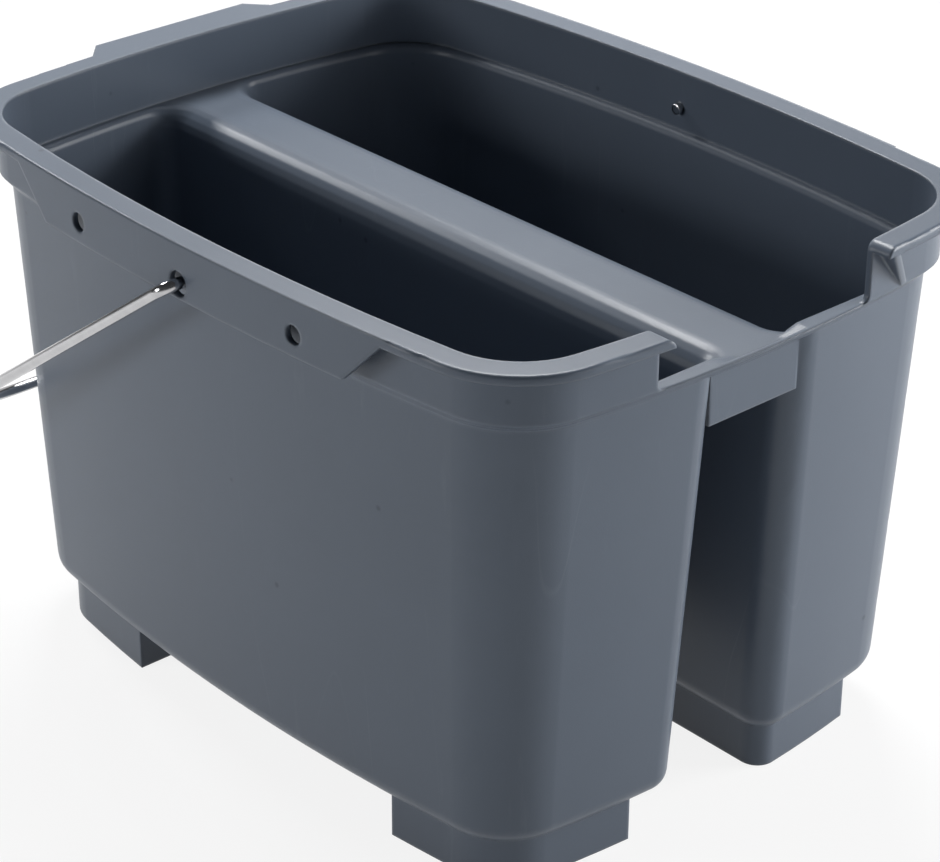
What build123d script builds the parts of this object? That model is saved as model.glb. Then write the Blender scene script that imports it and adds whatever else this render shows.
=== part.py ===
"""Divided double pail with a wire bail: two tapered tubs under one collar, in one moulding."""

import os
from math import sqrt

from build123d import *

# Moulding in plan: the rim, whose four sides bow outwards
RIM_LENGTH = 448.0
RIM_WIDTH = 342.0
LONG_BOW = 14.0
END_BOW = 12.0
RIM_CORNER_R = 54.0

# Heights: the rim above the ground, the saddle below the rim, the tub floors above the ground
RIM_Z = 285.0
COLLAR_HEIGHT = 32.5
FOOT_HEIGHT = 22.0

# Rim and collar, as distances in from the edge of the rim
COLLAR_INSET = 10.0
RIM_THICKNESS = 4.5
RIM_EDGE_R = 1.5
COLLAR_WALL = 3.2
STEP_HEIGHT = 6.0

# Tubs, as distances in from the edge of the rim at the saddle and at the floor
SIDE_INSET_TOP = 14.2
SIDE_INSET_FLOOR = 21.5
END_INSET_TOP = 15.0
END_INSET_FLOOR = 27.0
GAP_TOP = 46.0
GAP_FLOOR = 57.0
TUB_OUTER_R = 44.0
TUB_FLOOR_OUTER_R = 38.0
TUB_INNER_R = 15.0
TUB_FLOOR_R = 11.0
WALL = 3.0

# Saddle between the tubs: rounded shoulders, and webs that close the gap under its ends
SHOULDER_R = 14.0
LEDGE_R = 3.5
WEB_DEPTH = 31.0
WEB_SETBACK = 4.0

# Spout: the front of the collar is cut down to a straight lip, with a gusset at the far end
SPOUT_WIDTH = 138.0
CREST_R = 5.0
SPOUT_FOOT_R = 4.0
LIP_RISE = 2.5
LIP_INSET = 12.2
LIP_DEPTH = 8.3
LIP_SLOPE = 2.5
LIP_HEIGHT = 6.0
LIP_OVERRUN = 25.0
LIP_DIP_TOP = 56.0
LIP_DIP_FOOT = 30.0
GUSSET_RUN = 25.0
GUSSET_THICKNESS = 4.5

# Hand-hold at the back: a wider stretch of rim
HOLD_REACH = 9.0
HOLD_WIDTH = 119.0
HOLD_SLANT = 10.0

# Skirts that hang from the long sides of the rim, with their holes below the top of the rim
SKIRT_HEIGHT = 28.5
SKIRT_FOOT_LENGTH = 226.0
SKIRT_THICKNESS = 3.0
SPARE_HOLE_D = 10.0
SPARE_HOLE_PITCH = 82.0
SPARE_HOLE_DROP = 17.5
BAIL_HOLE_D = 12.8
PIVOT_DROP = 20.5

# Feet: one under each end of each tub
FOOT_SIDE_INSET = 4.7
FRONT_FOOT_INSET = 4.7
FRONT_FOOT_LENGTH = 80.0
BACK_FOOT_INSET = 12.0
BACK_FOOT_LENGTH = 96.0
NEAR_FOOT_WIDTH = 89.0
FAR_FOOT_WIDTH = 69.0
FOOT_WALL = 3.0

# Bail and its grip
WIRE_D = 6.0
PIVOT_CLEARANCE = 0.05
BAIL_OVERHANG = 35.5
BAIL_FOLD_DEG = 35.4
BAIL_SIDE_GAP = 5.0
BAIL_BEND_R = 56.0
PIVOT_BEND_R = 7.0
GRIP_LENGTH = 112.0
GRIP_D = 18.2
GRIP_WAIST = 2.0
GRIP_CLEARANCE = 0.05

# Heights that follow from these
saddle_z = RIM_Z - COLLAR_HEIGHT
step_z = saddle_z - WALL
lip_z = saddle_z + LIP_RISE
pivot_z = RIM_Z - PIVOT_DROP


def outline(side_inset, end_inset, corner_r, z):
    """Rounded rectangle with bowed sides, drawn in from the edge of the rim."""
    half_length = RIM_LENGTH / 2 - end_inset
    half_width = RIM_WIDTH / 2 - side_inset
    corner_x = half_length - END_BOW
    corner_y = half_width - LONG_BOW
    near = ThreePointArc((-corner_x, -corner_y), (0, -half_width), (corner_x, -corner_y))
    front = ThreePointArc((corner_x, -corner_y), (half_length, 0), (corner_x, corner_y))
    far = ThreePointArc((corner_x, corner_y), (0, half_width), (-corner_x, corner_y))
    back = ThreePointArc((-corner_x, corner_y), (-half_length, 0), (-corner_x, -corner_y))
    face = make_face([near, front, far, back])
    face = fillet(face.vertices(), corner_r)
    return Pos(0, 0, z) * face


def tub_outline(side_inset, end_inset, gap_inset, outer_r, inner_r, z):
    """The far tub's share of the outline, with its straight side along the gap."""
    half = outline(side_inset, end_inset, outer_r, 0)
    half = half & (Pos(0, gap_inset + RIM_WIDTH / 2) * Rectangle(2 * RIM_LENGTH, RIM_WIDTH))
    corners = half.vertices().filter_by(lambda v: abs(v.Y - gap_inset) < 0.01)
    half = fillet(corners, inner_r)
    return Pos(0, 0, z) * half


def mouth_outline(z):
    """The inside of the tub at height z, flared by the rounded edges of its mouth."""
    share = (saddle_z - z) / (saddle_z - FOOT_HEIGHT)
    shoulder = SHOULDER_R - sqrt(SHOULDER_R**2 - max(0, z - saddle_z + SHOULDER_R) ** 2)
    ledge = LEDGE_R - sqrt(LEDGE_R**2 - max(0, z - saddle_z + LEDGE_R) ** 2)
    side = SIDE_INSET_TOP + (SIDE_INSET_FLOOR - SIDE_INSET_TOP) * share
    end = END_INSET_TOP + (END_INSET_FLOOR - END_INSET_TOP) * share
    gap = (GAP_TOP + (GAP_FLOOR - GAP_TOP) * share) / 2
    outer_r = TUB_OUTER_R + (TUB_FLOOR_OUTER_R - TUB_OUTER_R) * share
    return tub_outline(
        side + WALL - ledge,
        end + WALL - ledge,
        gap + WALL - shoulder,
        outer_r - WALL + ledge,
        TUB_INNER_R - WALL + (shoulder + ledge) / 2,
        z,
    )


def along_x(shape, x_from, x_to):
    """A shape drawn across the pail, as (Y, Z), run from one station to another."""
    plane = Plane(origin=(x_from, 0, 0), x_dir=(0, 1, 0), z_dir=(1, 0, 0))
    return extrude(plane * shape, x_to - x_from)


# Tubs: a drafted solid with a rounded floor, and the hollow inside it
tub = loft(
    [
        tub_outline(
            SIDE_INSET_FLOOR, END_INSET_FLOOR, GAP_FLOOR / 2, TUB_FLOOR_OUTER_R, TUB_INNER_R, FOOT_HEIGHT
        ),
        tub_outline(SIDE_INSET_TOP, END_INSET_TOP, GAP_TOP / 2, TUB_OUTER_R, TUB_INNER_R, saddle_z),
    ],
    ruled=True,
)
tub = fillet(tub.faces().sort_by(Axis.Z)[0].edges(), TUB_FLOOR_R)
shoulder_z = saddle_z - SHOULDER_R
hollow = loft([mouth_outline(FOOT_HEIGHT + WALL), mouth_outline(shoulder_z)], ruled=True)
hollow = fillet(hollow.faces().sort_by(Axis.Z)[0].edges(), TUB_FLOOR_R - WALL)
flare = [0, 0.3, 0.55, 0.75, 0.9, 0.98, 1]
hollow += loft([mouth_outline(shoulder_z + SHOULDER_R * share) for share in flare], ruled=True)

# Collar: stands proud of the tubs on a sloping step, and opens as one space over both
collar_r = RIM_CORNER_R - COLLAR_INSET
collar = loft(
    [
        outline(SIDE_INSET_TOP, END_INSET_TOP, TUB_OUTER_R, step_z),
        outline(COLLAR_INSET, COLLAR_INSET, collar_r, step_z + STEP_HEIGHT),
        outline(COLLAR_INSET, COLLAR_INSET, collar_r, RIM_Z - RIM_THICKNESS),
    ],
    ruled=True,
)
rim = extrude(outline(0, 0, RIM_CORNER_R, RIM_Z - RIM_THICKNESS), RIM_THICKNESS)
rim = fillet(rim.faces().sort_by(Axis.Z)[-1].edges(), RIM_EDGE_R)
inside = COLLAR_INSET + COLLAR_WALL
collar_space = extrude(outline(inside, inside, RIM_CORNER_R - inside, saddle_z), COLLAR_HEIGHT)

# Saddle: webs close the ends of the gap, and a fillet under each shoulder keeps the wall even
web_x = RIM_LENGTH / 2 - END_INSET_TOP - WEB_SETBACK
web = Pos(web_x - WALL / 2, 0, saddle_z - WEB_DEPTH / 2) * Box(WALL, GAP_TOP + 4 * WALL, WEB_DEPTH)
under_r = SHOULDER_R - WALL
under = Pos(GAP_TOP / 2, step_z) * Rectangle(2 * under_r, 2 * under_r)
under -= Pos(GAP_TOP / 2 - under_r, step_z - under_r) * Circle(under_r)
under &= Pos(GAP_TOP / 2, step_z) * Rectangle(2 * under_r, 2 * under_r, align=(Align.CENTER, Align.MAX))
under = along_x(under, WALL - web_x, web_x - WALL)

# Spout: the cut through the front of the collar, with rounded crests, and the lip along its foot
front_x = RIM_LENGTH / 2
half_spout = SPOUT_WIDTH / 2
crest_y = half_spout + 2 * CREST_R
above_z = RIM_Z + RIM_THICKNESS
spout_line = FilletPolyline(
    (-crest_y, RIM_Z),
    (-half_spout, RIM_Z),
    (-half_spout, lip_z),
    (half_spout, lip_z),
    (half_spout, RIM_Z),
    (crest_y, RIM_Z),
    radius=[CREST_R, SPOUT_FOOT_R, SPOUT_FOOT_R, CREST_R],
)
spout_top = Polyline((crest_y, RIM_Z), (crest_y, above_z), (-crest_y, above_z), (-crest_y, RIM_Z))
spout_cut = along_x(make_face([spout_line, spout_top]), front_x - 2 * inside, front_x)
lip_x = front_x - LIP_INSET
lip = make_face(
    Polyline(
        (lip_x, lip_z),
        (lip_x - LIP_DEPTH, lip_z),
        (lip_x - LIP_DEPTH + LIP_SLOPE, lip_z - LIP_HEIGHT),
        (lip_x - LIP_SLOPE, lip_z - LIP_HEIGHT),
        close=True,
    )
)
lip = extrude(Plane.XZ * lip, half_spout + LIP_OVERRUN, both=True)
lip_dip = make_face(
    Polyline(
        (-LIP_DIP_FOOT / 2, saddle_z),
        (LIP_DIP_FOOT / 2, saddle_z),
        (LIP_DIP_TOP / 2, lip_z),
        (-LIP_DIP_TOP / 2, lip_z),
        close=True,
    )
)
lip = (lip & collar) - along_x(lip_dip, 0, front_x)

# Gusset: carries the rim down to the lip at the far end of the spout
gusset = make_face(
    Polyline(
        (half_spout, RIM_Z),
        (half_spout + GUSSET_RUN, lip_z),
        (half_spout + GUSSET_RUN + GUSSET_THICKNESS, lip_z),
        (half_spout + GUSSET_THICKNESS, RIM_Z),
        close=True,
    )
)
gusset_taper = loft(
    [
        outline(COLLAR_INSET, COLLAR_INSET, collar_r, lip_z),
        outline(0, 0, RIM_CORNER_R, RIM_Z - RIM_THICKNESS),
    ],
    ruled=True,
)
gusset = along_x(gusset, front_x - 2 * inside, front_x) & gusset_taper
gusset -= collar_space

# Hand-hold: the rim widens at the middle of the back end
hold_x = -RIM_LENGTH / 2
hold = make_face(
    Polyline(
        (hold_x + inside, -HOLD_WIDTH / 2),
        (hold_x + HOLD_REACH / 4, -HOLD_WIDTH / 2),
        (hold_x - HOLD_REACH, HOLD_SLANT - HOLD_WIDTH / 2),
        (hold_x - HOLD_REACH, HOLD_WIDTH / 2 - HOLD_SLANT),
        (hold_x + HOLD_REACH / 4, HOLD_WIDTH / 2),
        (hold_x + inside, HOLD_WIDTH / 2),
        close=True,
    )
)
hold = extrude(Pos(0, 0, RIM_Z - RIM_THICKNESS) * hold, RIM_THICKNESS)

# Skirts: the edge of the rim hangs down along each long side, clear of the collar
skirt_z = RIM_Z - SKIRT_HEIGHT
skirt = outline(0, 0, RIM_CORNER_R, skirt_z)
skirt -= outline(SKIRT_THICKNESS, SKIRT_THICKNESS, RIM_CORNER_R - SKIRT_THICKNESS, skirt_z)
skirt = extrude(skirt, SKIRT_HEIGHT)
half_skirt = SKIRT_FOOT_LENGTH / 2
skirt_shape = make_face(
    Polyline(
        (-half_skirt, skirt_z),
        (half_skirt, skirt_z),
        (half_skirt + SKIRT_HEIGHT, RIM_Z),
        (-half_skirt - SKIRT_HEIGHT, RIM_Z),
        close=True,
    )
)
skirt &= extrude(Plane.XZ * skirt_shape, RIM_WIDTH, both=True)
skirt -= Pos(0, 0, pivot_z) * Rot(90, 0, 0) * Cylinder(BAIL_HOLE_D / 2, 2 * RIM_WIDTH)
for x in (-SPARE_HOLE_PITCH, SPARE_HOLE_PITCH):
    skirt -= Pos(x, 0, RIM_Z - SPARE_HOLE_DROP) * Rot(90, 0, 0) * Cylinder(SPARE_HOLE_D / 2, 2 * RIM_WIDTH)
pivot_holes = Pos(0, 0, pivot_z) * Rot(90, 0, 0) * Cylinder(WIRE_D / 2 + PIVOT_CLEARANCE, 2 * RIM_WIDTH)


def foot_outline(end_inset):
    """The floor of the far tub, drawn in to where its feet stand."""
    return tub_outline(
        SIDE_INSET_FLOOR + FOOT_SIDE_INSET,
        END_INSET_FLOOR + end_inset,
        GAP_FLOOR / 2 + FOOT_SIDE_INSET,
        TUB_FLOOR_OUTER_R - FOOT_SIDE_INSET,
        TUB_INNER_R - FOOT_SIDE_INSET,
        0,
    )


# Feet: shallow cups open below, under the outer side of the near tub and the inner side of the far one
inner_edge = GAP_FLOOR / 2 + FOOT_SIDE_INSET
outer_edge = SIDE_INSET_FLOOR + FOOT_SIDE_INSET - RIM_WIDTH / 2
far_band = Pos(0, inner_edge) * Rectangle(2 * RIM_LENGTH, 2 * FAR_FOOT_WIDTH)
near_band = Pos(0, outer_edge) * Rectangle(2 * RIM_LENGTH, 2 * NEAR_FOOT_WIDTH)
front_end = Pos(front_x - END_INSET_FLOOR - FRONT_FOOT_INSET) * Rectangle(2 * FRONT_FOOT_LENGTH, RIM_WIDTH)
back_end = Pos(hold_x + END_INSET_FLOOR + BACK_FOOT_INSET) * Rectangle(2 * BACK_FOOT_LENGTH, RIM_WIDTH)
front_floor = foot_outline(FRONT_FOOT_INSET) & front_end
back_floor = foot_outline(BACK_FOOT_INSET) & back_end
feet = []
for floor in (front_floor, back_floor):
    for pad in (floor & far_band, mirror(floor, Plane.XZ) & near_band):
        foot = extrude(pad, FOOT_HEIGHT + WALL / 2)
        feet.append(foot - extrude(offset(pad, -FOOT_WALL), FOOT_HEIGHT - WALL / 2))

# The moulding, joined from the outside in
body = tub + mirror(tub, Plane.XZ) + collar + rim + hold
body = body + web + mirror(web, Plane.YZ) + under + mirror(under, Plane.XZ)
body = body - collar_space - spout_cut
body = body + skirt - collar_space
body = body - hollow - mirror(hollow, Plane.XZ) - pivot_holes
body = body + lip + gusset
for foot in feet:
    body += foot

# Bail: one bent wire, sprung into the pivot holes and folded down behind the back end
bail_reach = RIM_LENGTH / 2 + BAIL_OVERHANG
arm_y = RIM_WIDTH / 2 + BAIL_SIDE_GAP + WIRE_D / 2
stub_y = RIM_WIDTH / 2 - inside - WIRE_D / 2
bail_plane = Plane(
    origin=(0, 0, pivot_z),
    x_dir=Vector(-1, 0, 0).rotate(Axis.Y, -BAIL_FOLD_DEG),
    z_dir=Vector(0, 0, -1).rotate(Axis.Y, -BAIL_FOLD_DEG),
)
bail_line = FilletPolyline(
    (0, -stub_y),
    (0, -arm_y),
    (bail_reach, -arm_y),
    (bail_reach, arm_y),
    (0, arm_y),
    (0, stub_y),
    radius=[PIVOT_BEND_R, BAIL_BEND_R, BAIL_BEND_R, PIVOT_BEND_R],
)
bail_path = bail_plane * bail_line
bail = sweep(Plane(origin=bail_path @ 0, z_dir=bail_path % 0) * Circle(WIRE_D / 2), path=bail_path)

# Grip: a waisted sleeve that turns on the middle of the wire
bore_r = WIRE_D / 2 + GRIP_CLEARANCE
end_y = GRIP_LENGTH / 2
grip_shape = make_face(
    [
        Polyline((GRIP_D / 2, end_y), (bore_r, end_y), (bore_r, -end_y), (GRIP_D / 2, -end_y)),
        ThreePointArc((GRIP_D / 2, -end_y), ((GRIP_D - GRIP_WAIST) / 2, 0), (GRIP_D / 2, end_y)),
    ]
)
grip = bail_plane * (Pos(bail_reach, 0, 0) * revolve(grip_shape, Axis.Y))

# The parts stand with the middle of the whole moulding's length over the origin
place = Pos(-body.bounding_box().center().X, 0, 0)
os.makedirs("parts", exist_ok=True)
export_step(place * body, "parts/bucket_body.step")
export_step(place * bail, "parts/bail_wire.step")
export_step(place * grip, "parts/bail_grip.step")
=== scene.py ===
"""Divided cleaning pail: one grey plastic moulding with a chromed wire bail folded down behind it."""

import bpy
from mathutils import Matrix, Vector

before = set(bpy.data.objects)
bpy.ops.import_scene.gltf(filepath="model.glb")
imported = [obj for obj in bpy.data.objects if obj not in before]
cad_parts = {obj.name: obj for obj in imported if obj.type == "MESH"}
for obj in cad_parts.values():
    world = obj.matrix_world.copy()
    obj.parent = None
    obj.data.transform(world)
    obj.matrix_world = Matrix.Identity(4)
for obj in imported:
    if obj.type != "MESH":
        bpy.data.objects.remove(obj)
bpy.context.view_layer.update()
bpy.ops.object.select_all(action="DESELECT")


# Pail: two tubs, collar, rim, skirts and feet in one injection moulding of blue-grey polypropylene.
# The mould is lightly spark-eroded, so the skin is satin with a fine grain and slow changes of tone.
# Stacking and carrying leave pale rubs and hairline scuffs, a few specks are in the melt, and every
# edge has a painted highlight.
def add_node(tree, kind, inputs=None, **settings):
    """Add a shader node; each input takes a plain value or the output that feeds it."""
    node = tree.nodes.new("ShaderNode" + kind)
    for name, value in settings.items():
        setattr(node, name, value)
    for name, value in (inputs or {}).items():
        if isinstance(value, bpy.types.NodeSocket):
            tree.links.new(value, node.inputs[name])
        else:
            node.inputs[name].default_value = value
    return node


def maths(tree, operation, *terms):
    """One step of arithmetic on values or outputs."""
    return add_node(tree, "Math", dict(enumerate(terms)), operation=operation).outputs["Value"]


def ramp(tree, value, start, end, low=0.0, high=1.0):
    """From low at start to high at end, and level beyond both."""
    span = {"Value": value, "From Min": start, "From Max": end, "To Min": low, "To Max": high}
    return add_node(tree, "MapRange", span).outputs["Result"]


def cloud(tree, vector, scale, detail, roughness=0.5):
    """Soft random tone through the piece, around a middle of 0.5."""
    spread = {"Vector": vector, "Scale": scale, "Detail": detail, "Roughness": roughness}
    return add_node(tree, "TexNoise", spread).outputs["Fac"]


def mix_colour(tree, share, base, over):
    """The base colour with a share of the other over it."""
    pair = {"Factor": share, "A": base, "B": over}
    return add_node(tree, "Mix", pair, data_type="RGBA").outputs["Result"]


def moulded_skin_group():
    """Moulded skin: slow tone, fine grain, pale rubs, hairline scuffs and small dark specks."""
    group = bpy.data.node_groups.new("moulded_skin", "ShaderNodeTree")
    sockets = group.interface
    sockets.new_socket("Vector", in_out="INPUT", socket_type="NodeSocketVector")
    for name in ("Grain Scale", "Tone Scale", "Rub Scale", "Scuff Scale", "Speck Scale"):
        sockets.new_socket(name, in_out="INPUT", socket_type="NodeSocketFloat")
    for name in ("Tone", "Grain", "Rubs", "Scuffs", "Specks"):
        sockets.new_socket(name, in_out="OUTPUT", socket_type="NodeSocketFloat")
    given = group.nodes.new("NodeGroupInput").outputs
    result = group.nodes.new("NodeGroupOutput").inputs

    tone = cloud(group, given["Vector"], given["Tone Scale"], detail=3.0, roughness=0.55)
    group.links.new(tone, result["Tone"])
    grain = cloud(group, given["Vector"], given["Grain Scale"], detail=2.0, roughness=0.6)
    group.links.new(grain, result["Grain"])

    # Rubs and scuffs are drawn out upright, the way pails slide in and out of a stack.
    upright = {"Vector": given["Vector"], "Scale": (1.0, 1.0, 0.12), "Rotation": (0.35, 0.2, 0.0)}
    drawn_out = add_node(group, "Mapping", upright).outputs["Vector"]
    handling = cloud(group, drawn_out, given["Rub Scale"], detail=5.0, roughness=0.7)
    rub_start, rub_full = 0.62, 0.80
    group.links.new(ramp(group, handling, rub_start, rub_full), result["Rubs"])

    # A scuff is the thin line where a soft cloud passes its middle, kept to patches of the skin.
    middle, hairline_width = 0.5, 0.003
    patch_start, patch_full = 0.50, 0.66
    drift = cloud(group, drawn_out, given["Scuff Scale"], detail=1.0)
    beside = maths(group, "ABSOLUTE", maths(group, "SUBTRACT", drift, middle))
    hairline = ramp(group, beside, 0.0, hairline_width, low=1.0, high=0.0)
    patches = ramp(group, tone, patch_start, patch_full)
    group.links.new(maths(group, "MULTIPLY", hairline, patches), result["Scuffs"])

    # A speck is the core of a cell, in fewer than a third of the cells.
    core_radius, core_fade, bare_cells = 0.035, 0.075, 0.7
    cell = add_node(group, "TexVoronoi", {"Vector": given["Vector"], "Scale": given["Speck Scale"]})
    core = ramp(group, cell.outputs["Distance"], core_radius, core_fade, low=1.0, high=0.0)
    chance = add_node(group, "SeparateColor", {"Color": cell.outputs["Color"]}).outputs["Red"]
    chosen = maths(group, "GREATER_THAN", chance, bare_cells)
    group.links.new(maths(group, "MULTIPLY", core, chosen), result["Specks"])
    return group


moulded_skin = moulded_skin_group()


def moulded_plastic(name, dark, light, rub_and_highlight, gloss, edge_radius, scales):
    """Satin moulded plastic: two close tones under painted edge highlights, scuffs, rubs and specks.
    """
    # The first share is how strongly the edges are painted paler as a highlight; the others are real
    # scuffs and rubs.
    painted_edge_highlight, scuff_wear, rub_wear, speck_cover = 0.30, 0.15, 0.16, 0.55
    speck_depth = 0.45
    shine_gain, shine_loss = 0.05, 0.09
    material = bpy.data.materials.new(name)
    material.use_nodes = True
    tree = material.node_tree
    shader = tree.nodes["Principled BSDF"]
    place = add_node(tree, "TexCoord").outputs["Object"]
    skin = add_node(tree, "Group", {"Vector": place, **scales}, node_tree=moulded_skin).outputs

    # The tool eases every edge. Where the eased skin turns away from the face, a paler colour is
    # painted there as a highlight.
    still_flat, full_edge = 0.97, 0.78
    eased = add_node(tree, "Bevel", {"Radius": edge_radius}, samples=8).outputs["Normal"]
    face = add_node(tree, "NewGeometry").outputs["Normal"]
    turn = add_node(tree, "VectorMath", {0: eased, 1: face}, operation="DOT_PRODUCT")
    highlight_and_wear = ramp(tree, turn.outputs["Value"], still_flat, full_edge, high=painted_edge_highlight)
    highlight_and_wear = maths(tree, "MULTIPLY_ADD", skin["Scuffs"], scuff_wear, highlight_and_wear)
    highlight_and_wear = maths(tree, "MULTIPLY_ADD", skin["Rubs"], rub_wear, highlight_and_wear)
    specks = maths(tree, "MULTIPLY", skin["Specks"], speck_cover)

    colour = mix_colour(tree, skin["Tone"], (*dark, 1.0), (*light, 1.0))
    # The painted edge highlights, the scuffs and the rubs all take the same paler colour.
    colour = mix_colour(tree, highlight_and_wear, colour, (*rub_and_highlight, 1.0))
    colour = mix_colour(tree, specks, colour, (*(speck_depth * part for part in dark), 1.0))
    tree.links.new(colour, shader.inputs["Base Color"])

    polish = ramp(tree, skin["Tone"], 0.0, 1.0, low=gloss - shine_gain, high=gloss + shine_loss)
    tree.links.new(polish, shader.inputs["Roughness"])
    shader.inputs["IOR"].default_value = 1.49
    shader.inputs["Specular IOR Level"].default_value = 0.32

    spark = {"Strength": 0.12, "Distance": 0.0003, "Height": skin["Grain"], "Normal": eased}
    tree.links.new(add_node(tree, "Bump", spark).outputs["Normal"], shader.inputs["Normal"])
    return material


def dress(node_name, material):
    """Give a solid its one material."""
    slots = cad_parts[node_name].data.materials
    slots.clear()
    slots.append(material)


pail_plastic = moulded_plastic(
    "pail_plastic",
    dark=(0.080, 0.100, 0.132),
    light=(0.098, 0.121, 0.157),
    # The pale colour of rubs, scuffs and the painted edge highlights.
    rub_and_highlight=(0.21, 0.235, 0.275),
    gloss=0.33,
    edge_radius=0.0024,
    scales={
        "Grain Scale": 1400.0,
        "Tone Scale": 9.0,
        "Rub Scale": 60.0,
        "Scuff Scale": 22.0,
        "Speck Scale": 40.0,
    },
)
dress("bucket_body", pail_plastic)


# Bail: one length of 6 mm drawn steel wire, bent cold and bright plated, its ends sprung into a hole
# in each long side of the collar. The plating is thin and takes up the skin of the drawn wire, so its
# polish and tone are a little cloudy.
def plated_wire():
    """Bright plating over drawn wire, smooth round the wire."""
    material = bpy.data.materials.new("bail_chrome")
    material.use_nodes = True
    tree = material.node_tree
    shader = tree.nodes["Principled BSDF"]
    shader.inputs["Metallic"].default_value = 1.0
    place = add_node(tree, "TexCoord").outputs["Object"]
    clouding = cloud(tree, place, scale=120.0, detail=4.0)

    brightest, dullest = 0.05, 0.16
    polish = ramp(tree, clouding, 0.0, 1.0, low=brightest, high=dullest)
    tree.links.new(polish, shader.inputs["Roughness"])
    tint = mix_colour(tree, clouding, (0.42, 0.42, 0.43, 1.0), (0.58, 0.58, 0.59, 1.0))
    tree.links.new(tint, shader.inputs["Base Color"])

    rounded = add_node(tree, "Bevel", {"Radius": 0.0022}, samples=8).outputs["Normal"]
    drawn = {"Strength": 0.05, "Distance": 0.0001, "Height": clouding, "Normal": rounded}
    tree.links.new(add_node(tree, "Bump", drawn).outputs["Normal"], shader.inputs["Normal"])
    return material


dress("bail_wire", plated_wire())


# Grip: a dark plastic sleeve, moulded in one piece and pushed over the wire before it is bent.
# It is waisted for the hand and turns freely on the wire. Its skin is duller than the pail's, and
# handling has left the same pale rubs.
grip_plastic = moulded_plastic(
    "grip_plastic",
    dark=(0.018, 0.019, 0.021),
    light=(0.028, 0.029, 0.032),
    # The pale colour of rubs, scuffs and the painted edge highlights.
    rub_and_highlight=(0.10, 0.10, 0.11),
    gloss=0.46,
    edge_radius=0.0020,
    scales={
        "Grain Scale": 1400.0,
        "Tone Scale": 9.0,
        "Rub Scale": 60.0,
        "Scuff Scale": 22.0,
        "Speck Scale": 40.0,
    },
)
dress("bail_grip", grip_plastic)


# Studio: a white paper sweep under soft lamps. The paper is white to the camera and still takes the
# pail's shadow. Mirrored rays find it white near the pail and behind it, and a darker room elsewhere,
# so that the round plating shows a dark line.
def studio_white(tree, mirrored_white):
    """How white a ray finds the studio: wholly to the camera, by the given share in a mirror."""
    ray = add_node(tree, "LightPath").outputs
    direct = maths(tree, "MAXIMUM", ray["Is Camera Ray"], ray["Is Transmission Ray"])
    mirrored = maths(tree, "MULTIPLY", ray["Is Glossy Ray"], mirrored_white)
    return maths(tree, "MAXIMUM", direct, mirrored)


def white_paper():
    """Matt white paper that shows mostly its own white, so that the shadow on it is faint."""
    own_white = 0.86
    paper_end, room_start, room_white = 0.55, 1.2, 0.05
    material = bpy.data.materials.new("white_sweep")
    material.use_nodes = True
    tree = material.node_tree
    shader = tree.nodes["Principled BSDF"]
    shader.inputs["Base Color"].default_value = (0.86, 0.86, 0.86, 1.0)
    shader.inputs["Roughness"].default_value = 0.9
    shader.inputs["Specular IOR Level"].default_value = 0.0
    glow = add_node(tree, "Emission", {"Strength": 1.0}).outputs["Emission"]

    place = add_node(tree, "TexCoord").outputs["Object"]
    reach = add_node(tree, "VectorMath", {0: place}, operation="LENGTH").outputs["Value"]
    paper = ramp(tree, reach, paper_end, room_start, low=1.0, high=room_white)
    share = maths(tree, "MULTIPLY", studio_white(tree, paper), own_white)
    layers = {"Fac": share, 1: shader.outputs["BSDF"], 2: glow}
    seen = add_node(tree, "MixShader", layers).outputs["Shader"]
    tree.links.new(seen, tree.nodes["Material Output"].inputs["Surface"])
    return material


FLOOR_SIZE = 14.0
FLOOR_DROP = 0.0003
bpy.ops.mesh.primitive_plane_add(size=FLOOR_SIZE, location=(0.0, 0.0, -FLOOR_DROP))
floor = bpy.context.object
floor.name = "floor"
bpy.ops.object.transform_apply(location=True, rotation=True, scale=True)
floor.data.materials.append(white_paper())


def studio_air():
    """Dim air round the pail, with the white sweep behind it for the camera and the plating."""
    behind = (-0.75, 0.66, 0.0)
    room_white = 0.04
    sweep_top, ceiling = 0.52, 0.70
    sweep_edge, sweep_full = 0.70, 0.88
    world = bpy.data.worlds.new("studio")
    world.use_nodes = True
    tree = world.node_tree
    air = tree.nodes["Background"]
    air.inputs["Color"].default_value = (0.86, 0.88, 0.92, 1.0)
    air.inputs["Strength"].default_value = 0.06
    white = add_node(tree, "Background", {"Strength": 1.0}).outputs["Background"]

    way = add_node(tree, "TexCoord").outputs["Generated"]
    height = add_node(tree, "SeparateXYZ", {"Vector": way}).outputs["Z"]
    below = ramp(tree, height, sweep_top, ceiling, low=1.0, high=room_white)
    ahead = add_node(tree, "VectorMath", {0: way, 1: behind}, operation="DOT_PRODUCT")
    across = ramp(tree, ahead.outputs["Value"], sweep_edge, sweep_full, low=room_white, high=1.0)
    sweep = maths(tree, "MULTIPLY", below, across)
    layers = {"Fac": studio_white(tree, sweep), 1: air.outputs["Background"], 2: white}
    seen = add_node(tree, "MixShader", layers).outputs["Shader"]
    tree.links.new(seen, tree.nodes["World Output"].inputs["Surface"])
    return world


bpy.context.scene.world = studio_air()


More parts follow.
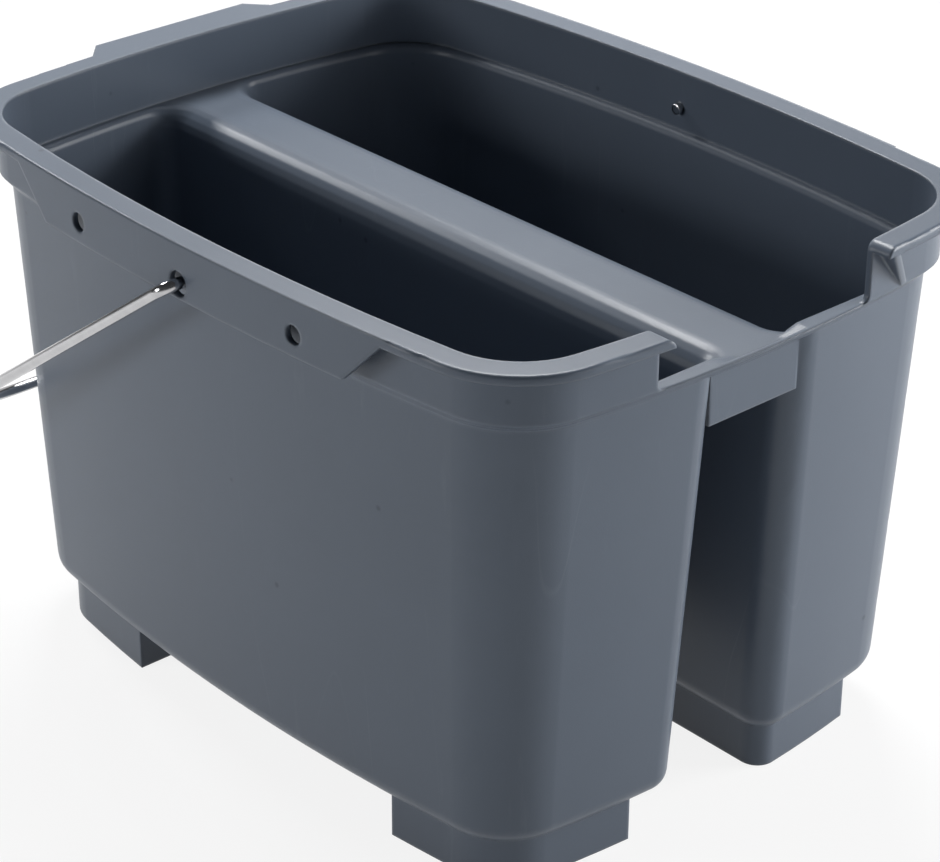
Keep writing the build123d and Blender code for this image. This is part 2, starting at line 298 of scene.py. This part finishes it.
def softbox(name, at, towards, width, height, watts):
    """A rectangular studio lamp with its face turned to a point."""
    lamp = bpy.data.lights.new(name, "AREA")
    lamp.shape = "RECTANGLE"
    lamp.size = width
    lamp.size_y = height
    lamp.energy = watts
    holder = bpy.data.objects.new(name, lamp)
    bpy.context.collection.objects.link(holder)
    holder.location = at
    holder.rotation_euler = (Vector(towards) - Vector(at)).to_track_quat("-Z", "Y").to_euler()


softbox(
    "overhead", at=(-0.62, 0.54, 1.45), towards=(0.0, 0.0, 0.25),
    width=0.60, height=0.50, watts=25.5,
)
softbox(
    "right_side", at=(0.90, 1.25, 0.55), towards=(0.2, 0.05, 0.10),
    width=0.70, height=0.70, watts=25.5,
)
softbox(
    "left_side", at=(-0.65, -1.45, 0.60), towards=(0.0, -0.1, 0.12),
    width=0.70, height=0.40, watts=9.3,
)
softbox(
    "front_fill", at=(1.90, 0.55, 0.70), towards=(-0.2, 0.05, 0.24),
    width=0.80, height=0.40, watts=6.0,
)
softbox(
    "back", at=(-1.60, 1.90, 0.55), towards=(0.0, 0.0, 0.25),
    width=1.20, height=0.30, watts=3.0,
)
softbox(
    "back_edge", at=(-1.30, 0.00, 1.15), towards=(-0.15, 0.0, 0.24),
    width=0.26, height=0.26, watts=10.0,
)


# Camera: a long lens at the photograph's angle, off the near front corner and looking down on it.
# Its focal length and the place of its axis are in pixels of the photograph's width, and were fitted
# to the outlines of the rim, tubs and feet.
FOCAL_PX = 3012.0
IMAGE_WIDTH_PX = 940.0
AXIS_X_PX = 438.4
SENSOR_WIDTH_MM = 36.0
CAMERA_AT = (1.0324, -0.9125, 0.8557)
CAMERA_TOWARDS = (-0.66394, 0.58302, -0.46828)
camera_data = bpy.data.cameras.new("camera")
camera_data.sensor_fit = "HORIZONTAL"
camera_data.sensor_width = SENSOR_WIDTH_MM
camera_data.lens = FOCAL_PX / IMAGE_WIDTH_PX * SENSOR_WIDTH_MM
camera_data.shift_x = 0.5 - AXIS_X_PX / IMAGE_WIDTH_PX
camera_data.clip_end = 50.0
camera = bpy.data.objects.new("camera", camera_data)
bpy.context.collection.objects.link(camera)
camera.location = CAMERA_AT
camera.rotation_euler = Vector(CAMERA_TOWARDS).to_track_quat("-Z", "Y").to_euler()
bpy.context.scene.camera = camera
bpy.context.scene.view_settings.view_transform = "Standard"
